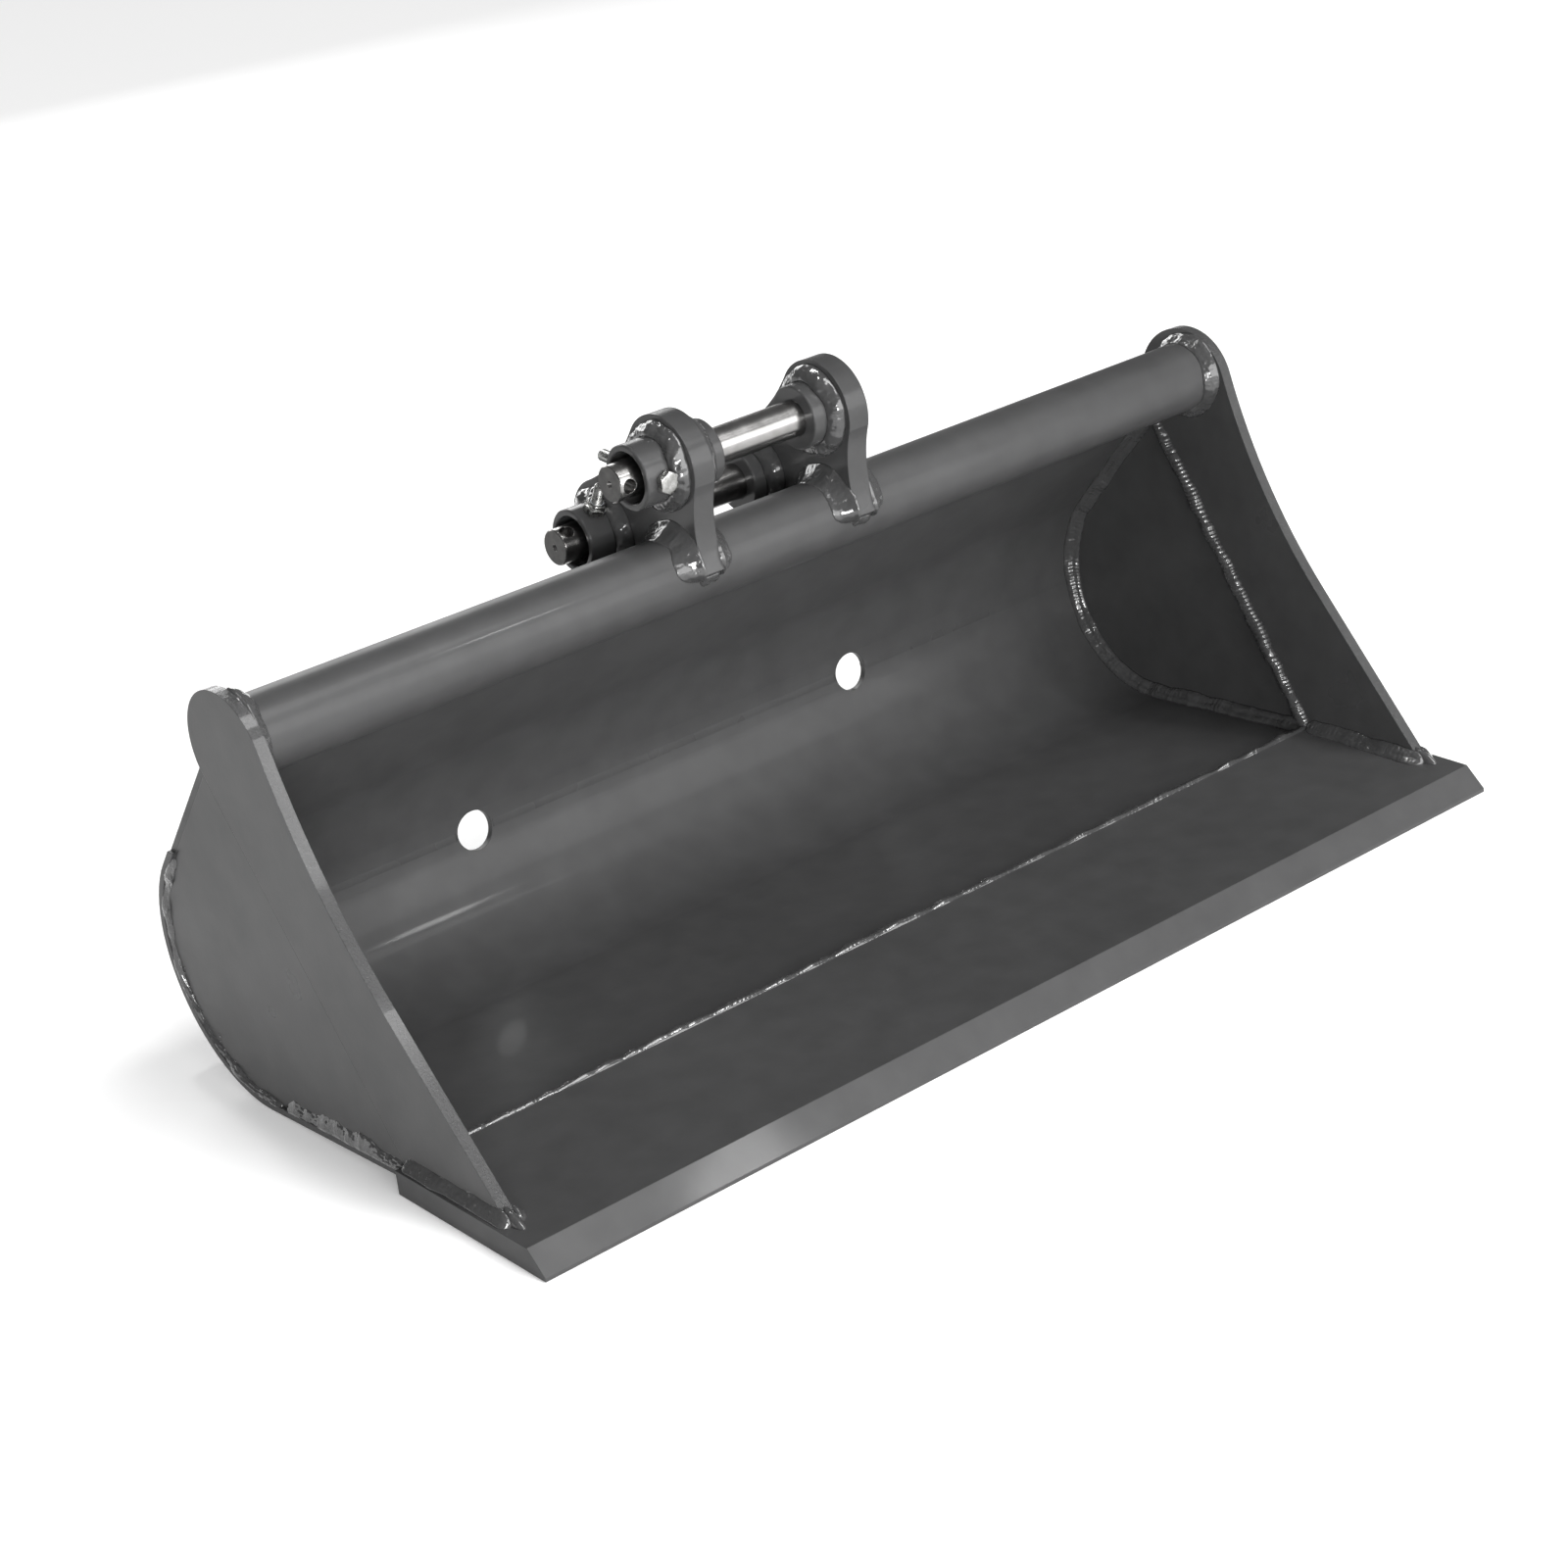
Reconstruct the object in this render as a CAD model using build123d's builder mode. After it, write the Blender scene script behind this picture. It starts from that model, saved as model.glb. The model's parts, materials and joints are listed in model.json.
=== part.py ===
"""Toothless grading bucket for a mini excavator, in millimetres.

X runs along the cutting edge, Y from the cutting edge to the heel, Z up. The origin is on the ground,
at mid width, below the tip of the cutting edge. The bucket is a welded box: a cutting edge, a floor and
a back of bent sheet, two ends of sheet with thick side cutters, and a tube across the top. Two ears on
the tube hold the hitch pins, and each pin is locked by a bolt through a boss on the left ear.
"""
from build123d import *
from math import acos, atan2, cos, degrees, hypot, radians, sin
import os

os.makedirs("parts", exist_ok=True)

# Cutting edge
WIDTH = 1000.0
EDGE_DEPTH = 180.0
EDGE_THICK = 20.0
EDGE_NOSE = 3.0
EDGE_BEVEL = 18.0

# Floor and back, bent from one gauge of sheet
SHEET = 6.0
FLOOR_RISE = 9.5
HEEL = (369.0, 112.0)
HEEL_R = 112.0
BACK_ANGLE = 40.8
SEAM_ANGLE = -8.0
SHEET_PROUD = 3.0
FLUSH_ABOVE = 200.0
DRAIN_R = 17.0
DRAIN_X = 207.0

# Ends: each leans out by a few degrees
SIDE_INSET = 10.0
SIDE_LEAN = 1.8
CUTTER_THICK = 10.0
CUTTER_FOOT = 52.0
CUTTER_SLOPE = 41.4
CUTTER_STRAIGHT = 174.0
LOBE = (317.8, 311.8)
LOBE_R = 50.4
LOBE_START = 161.5

# Tube across the top
TUBE = (311.3, 322.7)
TUBE_R = 30.15
TUBE_WALL = 5.0

# Hitch
FRONT_PIN = (312.5, 409.5)
REAR_PIN = (398.5, 340.0)
PIN_R = 15.0
PIN_LEFT = -139.5
PIN_RIGHT = 97.0
PIN_PLAY = 0.05
EAR_INSIDE = 69.0
EAR_THICK = 20.0
EAR_LOBE_R = 41.5
EAR_SADDLE_R = 150.0
EAR_HEEL_ANGLE = -20.0
EAR_FOOT = (272.5, 327.0)
EAR_WAIST = (279.0, 366.0)
EAR_NECK_ANGLE = 195.0
EAR_TOE_ANGLE = 184.0
COLLAR_R = 26.5
COLLAR_LENGTH = 23.0
BOSS_BORE_R = 21.0
BOSS_LENGTH = 33.5
CHAMFER = 1.0

# Locking bolts, M10 x 80 with a nylon-ring lock nut
BOLT_R = 5.0
BOLT_TAIL = 53.5
BOLT_X = -105.5
BOLT_PLAY = 0.5
SEAT_GAP = 0.3
PIN_CROSS_R = 6.0
SPARE_CROSS_X = -131.0
HEX_FLATS = 17.0
HEAD_HEIGHT = 6.4
NUT_HEX_HEIGHT = 7.0
NUT_HEIGHT = 10.0
NUT_RING_R = 7.2
NUT_BORE_R = 5.0
FRONT_BOLT_ANGLE = 5.0
REAR_BOLT_ANGLE = 118.7

EAR_OUTSIDE = EAR_INSIDE + EAR_THICK
BOLT_SEAT = COLLAR_R + SEAT_GAP
HALF_BLANK = WIDTH / 2 + 30.0
SIDES = {"left": -1, "right": 1}


def polar(centre, radius, angle):
    """The point at that angle in degrees on a circle."""
    return (centre[0] + radius * cos(radians(angle)), centre[1] + radius * sin(radians(angle)))


def along(start, direction, distance):
    return (start[0] + direction[0] * distance, start[1] + direction[1] * distance)


def meet(p, d, q, e):
    """Where the line through p along d meets the line through q along e."""
    cross = d[0] * e[1] - d[1] * e[0]
    return along(p, d, ((q[0] - p[0]) * e[1] - (q[1] - p[1]) * e[0]) / cross)


def enter_circle(start, direction, centre, radius):
    """The first point where a line along a unit direction meets a circle."""
    x, y = start[0] - centre[0], start[1] - centre[1]
    b = x * direction[0] + y * direction[1]
    return along(start, direction, -b - (b * b - x * x - y * y + radius * radius) ** 0.5)


def direction_to(p, q):
    return degrees(atan2(q[1] - p[1], q[0] - p[0]))


def end_plane(side, depth=0.0):
    """The leaning outer face of an end of the bucket, or a plane that depth inside it."""
    lean = radians(SIDE_LEAN)
    face = Plane(
        origin=(side * (WIDTH / 2 - SIDE_INSET), 0, 0),
        x_dir=(0, 1, 0),
        z_dir=(cos(lean), 0, -side * sin(lean)),
    )
    return face.offset(-side * depth)


def keep_inside(side):
    return Keep.BOTTOM if side > 0 else Keep.TOP


def keep_outside(side):
    return Keep.TOP if side > 0 else Keep.BOTTOM


# Outline of the floor and back, seen from the end
floor_start = (EDGE_DEPTH, FLOOR_RISE)
heel_reach = hypot(floor_start[0] - HEEL[0], floor_start[1] - HEEL[1])
HEEL_ANGLE = direction_to(HEEL, floor_start) + degrees(acos(HEEL_R / heel_reach))
floor_normal = polar((0, 0), 1, HEEL_ANGLE + 180)
back_normal = polar((0, 0), 1, BACK_ANGLE)
back_up = polar((0, 0), 1, BACK_ANGLE + 90)
floor_start_inside = (EDGE_DEPTH, FLOOR_RISE + SHEET / floor_normal[1])
back_start = polar(HEEL, HEEL_R, BACK_ANGLE)
back_start_inside = polar(HEEL, HEEL_R - SHEET, BACK_ANGLE)
back_length = (TUBE[0] - back_start[0]) * back_up[0] + (TUBE[1] - back_start[1]) * back_up[1]
notch = enter_circle(back_start, back_up, LOBE, LOBE_R)
cutter_back = (EDGE_DEPTH, EDGE_THICK)
cutter_rise = (notch[0] - cutter_back[0], notch[1] - cutter_back[1])
end_top = meet(cutter_back, cutter_rise, back_start_inside, back_up)

# Cutting edge
with BuildPart() as cutting_edge:
    with BuildSketch(Plane.YZ):
        with BuildLine():
            Polyline(
                (0, 0), (0, EDGE_NOSE), (EDGE_BEVEL, EDGE_THICK),
                (EDGE_DEPTH, EDGE_THICK), (EDGE_DEPTH, 0), close=True,
            )
        make_face()
    extrude(amount=WIDTH / 2, both=True)

# Side cutters, with the lobes that close the tube's ends
cutters = {}
for name, side in SIDES.items():
    with BuildPart() as cutter:
        with BuildSketch(Plane.YZ):
            with BuildLine():
                foot = (CUTTER_FOOT, EDGE_THICK)
                rise = polar((0, 0), 1, 90 - CUTTER_SLOPE)
                bend = along(foot, rise, CUTTER_STRAIGHT)
                Line(foot, bend)
                TangentArc(bend, polar(LOBE, LOBE_R, LOBE_START), tangent=rise)
                CenterArc(LOBE, LOBE_R, LOBE_START, direction_to(LOBE, notch) - LOBE_START)
                Polyline(notch, cutter_back, foot)
            make_face()
        extrude(amount=HALF_BLANK, both=True)
        split(bisect_by=end_plane(side), keep=keep_inside(side))
        split(bisect_by=end_plane(side, CUTTER_THICK), keep=keep_outside(side))
    cutters[name] = cutter

# End plates, between the side cutter and the sheet
end_plates = {}
for name, side in SIDES.items():
    with BuildPart() as end_plate:
        with BuildSketch(Plane.YZ):
            with BuildLine():
                Line(floor_start_inside, polar(HEEL, HEEL_R - SHEET, HEEL_ANGLE))
                CenterArc(HEEL, HEEL_R - SHEET, HEEL_ANGLE, BACK_ANGLE - HEEL_ANGLE)
                Polyline(back_start_inside, end_top, cutter_back, floor_start_inside)
            make_face()
        extrude(amount=HALF_BLANK, both=True)
        split(bisect_by=end_plane(side), keep=keep_inside(side))
        split(bisect_by=end_plane(side, SHEET), keep=keep_outside(side))
    end_plates[name] = end_plate

# Tube across the top
with BuildPart() as top_tube:
    with BuildSketch(Plane.YZ):
        with Locations(TUBE):
            Circle(TUBE_R)
            Circle(TUBE_R - TUBE_WALL, mode=Mode.SUBTRACT)
    extrude(amount=HALF_BLANK, both=True)
    for side in SIDES.values():
        split(bisect_by=end_plane(side, CUTTER_THICK), keep=keep_inside(side))

# Floor and heel, up to the seam
heel_arc = SEAM_ANGLE - HEEL_ANGLE
with BuildPart() as lower_shell:
    with BuildSketch(Plane.YZ):
        with BuildLine():
            Line(floor_start, polar(HEEL, HEEL_R, HEEL_ANGLE))
            CenterArc(HEEL, HEEL_R, HEEL_ANGLE, heel_arc)
            Line(polar(HEEL, HEEL_R, SEAM_ANGLE), polar(HEEL, HEEL_R - SHEET, SEAM_ANGLE))
            CenterArc(HEEL, HEEL_R - SHEET, HEEL_ANGLE, heel_arc)
            Line(polar(HEEL, HEEL_R - SHEET, HEEL_ANGLE), floor_start_inside)
            Line(floor_start_inside, floor_start)
        make_face()
    extrude(amount=HALF_BLANK, both=True)
    for side in SIDES.values():
        split(bisect_by=end_plane(side, -SHEET_PROUD), keep=keep_inside(side))

# Back, from the seam to the tube
with BuildPart() as upper_shell:
    with BuildSketch(Plane.YZ):
        with BuildLine():
            CenterArc(HEEL, HEEL_R, SEAM_ANGLE, BACK_ANGLE - SEAM_ANGLE)
            Polyline(
                back_start, along(back_start, back_up, back_length),
                along(back_start_inside, back_up, back_length), back_start_inside,
            )
            CenterArc(HEEL, HEEL_R - SHEET, SEAM_ANGLE, BACK_ANGLE - SEAM_ANGLE)
            Line(polar(HEEL, HEEL_R - SHEET, SEAM_ANGLE), polar(HEEL, HEEL_R, SEAM_ANGLE))
        make_face()
        with Locations(TUBE):
            Circle(TUBE_R, mode=Mode.SUBTRACT)
    extrude(amount=HALF_BLANK, both=True)
    for side in SIDES.values():
        split(bisect_by=end_plane(side, -SHEET_PROUD), keep=keep_inside(side))
    for side in SIDES.values():
        with BuildSketch(end_plane(side)):
            with Locations((HEEL[0], FLUSH_ABOVE)):
                Rectangle(HEEL_R * 4, HEEL_R * 4, align=(Align.CENTER, Align.MIN))
        extrude(amount=side * 2 * SHEET_PROUD, mode=Mode.SUBTRACT)
    for cutter in cutters.values():
        add(cutter.part, mode=Mode.SUBTRACT)

# The two drain holes lie across the seam, so both sheets are cut
drain_axis = polar((0, 0), 1, SEAM_ANGLE)
drain_face = Plane(
    origin=(0, *polar(HEEL, HEEL_R, SEAM_ANGLE)), x_dir=(1, 0, 0), z_dir=(0, *drain_axis)
)
with BuildPart() as drain_cutter:
    with BuildSketch(drain_face):
        with Locations((-DRAIN_X, 0), (DRAIN_X, 0)):
            Circle(DRAIN_R)
    extrude(amount=4 * SHEET, both=True)
for shell in (lower_shell, upper_shell):
    with shell:
        add(drain_cutter.part, mode=Mode.SUBTRACT)

# Ears
saddle_reach = EAR_LOBE_R + EAR_SADDLE_R
half_pitch = hypot(REAR_PIN[0] - FRONT_PIN[0], REAR_PIN[1] - FRONT_PIN[1]) / 2
saddle_mid = ((FRONT_PIN[0] + REAR_PIN[0]) / 2, (FRONT_PIN[1] + REAR_PIN[1]) / 2)
saddle_up = polar((0, 0), 1, direction_to(FRONT_PIN, REAR_PIN) + 90)
saddle = along(saddle_mid, saddle_up, (saddle_reach**2 - half_pitch**2) ** 0.5)
saddle_front = direction_to(FRONT_PIN, saddle)
saddle_rear = direction_to(REAR_PIN, saddle)
ear_heel = polar(REAR_PIN, EAR_LOBE_R, EAR_HEEL_ANGLE)
ear_base = meet(ear_heel, polar((0, 0), 1, EAR_HEEL_ANGLE - 90), back_start, back_up)
ear_joint = enter_circle(back_start, back_up, TUBE, TUBE_R)
joint_angle = direction_to(TUBE, ear_joint)
ears = {}
for name, side in SIDES.items():
    with BuildPart() as ear:
        with BuildSketch(Plane.YZ.offset(side * EAR_INSIDE)):
            with BuildLine():
                ThreePointArc(EAR_FOOT, EAR_WAIST, polar(FRONT_PIN, EAR_LOBE_R, EAR_NECK_ANGLE))
                CenterArc(FRONT_PIN, EAR_LOBE_R, EAR_NECK_ANGLE, saddle_front - EAR_NECK_ANGLE)
                CenterArc(
                    saddle, EAR_SADDLE_R, saddle_front + 180, saddle_rear - saddle_front
                )
                CenterArc(REAR_PIN, EAR_LOBE_R, saddle_rear, EAR_HEEL_ANGLE - saddle_rear)
                Polyline(ear_heel, ear_base, ear_joint)
                CenterArc(TUBE, TUBE_R, joint_angle, EAR_TOE_ANGLE - joint_angle)
                Line(polar(TUBE, TUBE_R, EAR_TOE_ANGLE), EAR_FOOT)
            make_face()
            with Locations(FRONT_PIN, REAR_PIN):
                Circle(PIN_R + PIN_PLAY, mode=Mode.SUBTRACT)
        extrude(amount=side * EAR_THICK)
    ears[name] = ear

# Collars inside the ears, and the bosses outside the left ear
collars = {}
for pin_name, centre in {"front": FRONT_PIN, "rear": REAR_PIN}.items():
    for name, side in SIDES.items():
        with BuildPart() as collar:
            with BuildSketch(Plane.YZ.offset(side * EAR_INSIDE)):
                with Locations(centre):
                    Circle(COLLAR_R)
                    Circle(PIN_R + PIN_PLAY, mode=Mode.SUBTRACT)
            extrude(amount=-side * COLLAR_LENGTH)
            inner_rim = collar.faces().filter_by(Axis.X).sort_by(Axis.X)[0 if side > 0 else -1]
            chamfer(inner_rim.outer_wire().edges(), CHAMFER)
        collars[f"{pin_name}_collar_{name}"] = collar


def across(centre, angle, x, distance=0.0):
    """A plane square to a bolt at that angle, at a distance along it from the pin's axis."""
    direction = polar((0, 0), 1, angle)
    return Plane(
        origin=(x, *along(centre, direction, distance)), x_dir=(1, 0, 0), z_dir=(0, *direction)
    )


HITCH = {
    "front": (FRONT_PIN, FRONT_BOLT_ANGLE),
    "rear": (REAR_PIN, REAR_BOLT_ANGLE),
}
bosses, pins, bolts, nuts = {}, {}, {}, {}
for name, (centre, angle) in HITCH.items():
    with BuildPart() as boss:
        with BuildSketch(Plane.YZ.offset(-EAR_OUTSIDE)):
            with Locations(centre):
                Circle(COLLAR_R)
                Circle(BOSS_BORE_R, mode=Mode.SUBTRACT)
        extrude(amount=-BOSS_LENGTH)
        outer_rim = boss.faces().filter_by(Axis.X).sort_by(Axis.X)[0]
        chamfer(outer_rim.edges(), CHAMFER)
        with BuildSketch(across(centre, angle, BOLT_X)):
            Circle(BOLT_R + BOLT_PLAY)
        extrude(amount=2 * COLLAR_R, both=True, mode=Mode.SUBTRACT)
    bosses[name] = boss

    with BuildPart() as pin:
        with BuildSketch(Plane.YZ.offset(PIN_LEFT)):
            with Locations(centre):
                Circle(PIN_R)
        extrude(amount=PIN_RIGHT - PIN_LEFT)
        ends = pin.faces().filter_by(Axis.X)
        chamfer(ends.edges(), CHAMFER)
        for x in (BOLT_X, SPARE_CROSS_X):
            with BuildSketch(across(centre, angle, x)):
                Circle(PIN_CROSS_R)
            extrude(amount=2 * PIN_R, both=True, mode=Mode.SUBTRACT)
        for end in (PIN_LEFT, PIN_RIGHT):
            with BuildSketch(Plane.YZ.offset(end)):
                with Locations(centre):
                    Circle(PIN_R / 5)
            inward = 1 if end == PIN_LEFT else -1
            extrude(amount=inward * PIN_R / 6, taper=45, mode=Mode.SUBTRACT)
    pins[name] = pin

    with BuildPart() as bolt:
        with BuildSketch(across(centre, angle, BOLT_X, -BOLT_SEAT)):
            RegularPolygon(HEX_FLATS / 2, 6, major_radius=False, rotation=30)
        extrude(amount=-HEAD_HEIGHT)
        with BuildSketch(across(centre, angle, BOLT_X, -BOLT_SEAT)):
            Circle(BOLT_R)
        extrude(amount=BOLT_SEAT + BOLT_TAIL)
        chamfer(bolt.faces().filter_by(GeomType.PLANE).sort_by(
            Axis((0, 0, 0), (0, *polar((0, 0), 1, angle))))[-1].edges(), CHAMFER)
    bolts[name] = bolt

    with BuildPart() as nut:
        with BuildSketch(across(centre, angle, BOLT_X, BOLT_SEAT)):
            RegularPolygon(HEX_FLATS / 2, 6, major_radius=False, rotation=30)
        extrude(amount=NUT_HEX_HEIGHT)
        with BuildSketch(across(centre, angle, BOLT_X, BOLT_SEAT)):
            Circle(NUT_RING_R)
        extrude(amount=NUT_HEIGHT)
        with BuildSketch(across(centre, angle, BOLT_X, BOLT_SEAT)):
            Circle(NUT_BORE_R)
        extrude(amount=2 * NUT_HEIGHT, both=True, mode=Mode.SUBTRACT)
    nuts[name] = nut

pieces = {
    "cutting_edge": cutting_edge,
    "lower_shell": lower_shell,
    "upper_shell": upper_shell,
    "top_tube": top_tube,
}
for name in SIDES:
    pieces[f"side_cutter_{name}"] = cutters[name]
    pieces[f"end_plate_{name}"] = end_plates[name]
    pieces[f"ear_{name}"] = ears[name]
pieces.update(collars)
for name in HITCH:
    pieces[f"{name}_boss"] = bosses[name]
    pieces[f"{name}_pin"] = pins[name]
    pieces[f"{name}_bolt"] = bolts[name]
    pieces[f"{name}_nut"] = nuts[name]
for name, piece in pieces.items():
    piece.part.label = name
    export_step(piece.part, f"parts/{name}.step")
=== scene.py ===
"""A toothless grading bucket in gloss dark grey, on a plain white floor. Lengths are in metres.

The plates, tube, collars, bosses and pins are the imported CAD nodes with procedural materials. This
script adds the weld beads, the spatter beside them and the seam ground almost flush in the back, and
its own locking bolts and nuts, with chamfers and threads, stand for the plain CAD ones.
"""

import json
import math

import bmesh
import bpy
import numpy as np
from mathutils import Matrix, Vector


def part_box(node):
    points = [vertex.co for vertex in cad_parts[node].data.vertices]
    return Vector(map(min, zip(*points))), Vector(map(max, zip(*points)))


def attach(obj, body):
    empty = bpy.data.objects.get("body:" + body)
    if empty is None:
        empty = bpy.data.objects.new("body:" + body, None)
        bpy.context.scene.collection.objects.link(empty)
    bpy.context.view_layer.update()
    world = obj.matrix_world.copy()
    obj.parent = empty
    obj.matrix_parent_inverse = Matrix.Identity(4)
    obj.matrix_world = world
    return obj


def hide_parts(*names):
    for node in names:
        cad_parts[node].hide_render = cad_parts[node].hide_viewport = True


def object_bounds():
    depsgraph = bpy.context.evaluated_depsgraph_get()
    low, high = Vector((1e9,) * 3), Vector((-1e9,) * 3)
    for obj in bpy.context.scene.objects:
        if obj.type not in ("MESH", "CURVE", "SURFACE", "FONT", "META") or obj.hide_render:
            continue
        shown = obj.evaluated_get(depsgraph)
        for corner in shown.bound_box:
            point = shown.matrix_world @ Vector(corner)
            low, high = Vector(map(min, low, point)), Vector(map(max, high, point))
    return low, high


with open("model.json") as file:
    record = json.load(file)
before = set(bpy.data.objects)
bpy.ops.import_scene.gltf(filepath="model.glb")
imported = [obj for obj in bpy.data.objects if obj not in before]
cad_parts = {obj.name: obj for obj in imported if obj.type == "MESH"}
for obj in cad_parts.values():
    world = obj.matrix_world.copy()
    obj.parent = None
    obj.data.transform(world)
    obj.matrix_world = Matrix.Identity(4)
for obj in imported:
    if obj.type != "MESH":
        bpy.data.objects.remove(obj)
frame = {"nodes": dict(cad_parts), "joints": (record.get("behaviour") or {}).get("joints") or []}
cad_low, cad_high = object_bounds()

# ---------------------------------------------------------------- driving sizes
SHEET = 0.006
CUTTER = 0.010
STEP_DEPTH = 0.0100
LEAN = math.tan(math.radians(1.8))
END_FOOT = 0.490
HEEL = np.array((0.369, 0.112))
HEEL_R = 0.112
BACK_ANGLE = 40.8
SEAM_ANGLE = -8.0
FLOOR_START = np.array((0.180, 0.0155))
CUTTER_FOOT_Y = 0.052
LOBE = np.array((0.3178, 0.3118))
LOBE_R = 0.0504
COLLAR_R = 0.0265
CUTTER_SLOPE = 41.4
PROUD_BELOW = 0.198
EAR_LOBE_R = 0.0415
EAR_HEEL_ANGLE = -20.0
EAR_TOE_ANGLE = 184.0
EAR_FOOT = np.array((0.2725, 0.327))
DRAIN_X = 0.207
DRAIN_R = 0.017
SIDES = {"left": -1, "right": 1}

edge_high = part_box("cutting_edge")[1]
EDGE_BACK, EDGE_TOP = edge_high.y, edge_high.z
tube_low, tube_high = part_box("top_tube")
TUBE = np.array(((tube_low.y + tube_high.y) / 2, (tube_low.z + tube_high.z) / 2))
TUBE_R = (tube_high.z - tube_low.z) / 2
EAR_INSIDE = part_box("ear_right")[0].x
EAR_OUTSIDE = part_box("ear_right")[1].x
JOINTS = {joint["name"]: joint for joint in frame["joints"]}
PINS = {name: np.array(JOINTS[f"{name}_pin_play"]["pos_m"][1:]) for name in ("front", "rear")}

BEAD_STEP = 0.0008
BEAD_POINTS = 11
ROPE_POINTS = 14
RIPPLE_PITCH = 0.0042
ENAMEL = 0.046
LEG_WAVES = (0.018, 0.022)
FOOT_OVERRUN = 0.003
HEEL_LEAD = 0.02
STEP_BEAD_BACK = 0.001
TUBE_BEAD_GAP = 0.004
SEAM_GAP = 0.006
SEAM_HALF_WIDTH = 0.0050
SEAM_GROUND = 0.00012
SEAM_PROUD = 0.0016
STRIP_POINTS = 9
STRIP_BURIED = 0.0012
SPATTER_ARC = (-70.0, -12.0)
SPATTER_COUNT = 34
SPATTER_REACH = 0.0035
SPATTER_CLEAR = 0.001
ENAMEL_SPECULAR = 0.2
BEVEL_SAMPLES = 6


# ---------------------------------------------------------------- small geometry
def polar(centre, radius, degrees):
    angle = math.radians(degrees)
    return np.asarray(centre) + radius * np.array((math.cos(angle), math.sin(angle)))


def angle_to(p, q):
    return math.degrees(math.atan2(q[1] - p[1], q[0] - p[0]))


def unit(v):
    v = np.asarray(v, float)
    return v / np.linalg.norm(v, axis=-1, keepdims=True)


def end_x(side, z, depth=0.0):
    """X of a leaning end's outer face at a height, or of the plane that depth inside it."""
    return side * (END_FOOT + z * LEAN - depth)


def on_end(outline, side, depth=0.0):
    """Points (y, z) placed on a leaning end."""
    return np.array([(end_x(side, z, depth), y, z) for y, z in outline])


def waves(rng, length, period, count):
    """A smooth random function of distance, from -1 to 1, with bumps about that far apart."""
    knots = max(4, int(length / period) + 3)
    values = rng.uniform(-1, 1, knots)
    s = np.linspace(0, knots - 1.001, count)
    i = s.astype(int)
    t = s - i
    t = t * t * (3 - 2 * t)
    return values[i] * (1 - t) + values[np.minimum(i + 1, knots - 1)] * t


def rounded_end(tip):
    """How much of its size a bead has near an end. tip goes from 0 at the end to 1 where it is full."""
    return np.sqrt(np.clip(1 - (1 - tip) ** 2, 0.03, 1))


def ripples(phase):
    """The scalloped top of a weld, one arch for each whole step of phase."""
    return np.sqrt(np.clip(1 - (2 * (phase % 1) - 1) ** 2, 0, 1)) - 0.75


def mesh_object(name, verts, faces, material, body="bucket", smooth=True):
    mesh = bpy.data.meshes.new(name)
    mesh.from_pydata([tuple(v) for v in verts], [], [tuple(int(i) for i in f) for f in faces])
    mesh.update()
    bm = bmesh.new()
    bm.from_mesh(mesh)
    bmesh.ops.recalc_face_normals(bm, faces=bm.faces)
    bm.to_mesh(mesh)
    bm.free()
    if smooth:
        mesh.shade_smooth()
    mesh.materials.append(material)
    obj = bpy.data.objects.new(name, mesh)
    bpy.context.scene.collection.objects.link(obj)
    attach(obj, body)
    return obj


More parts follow.
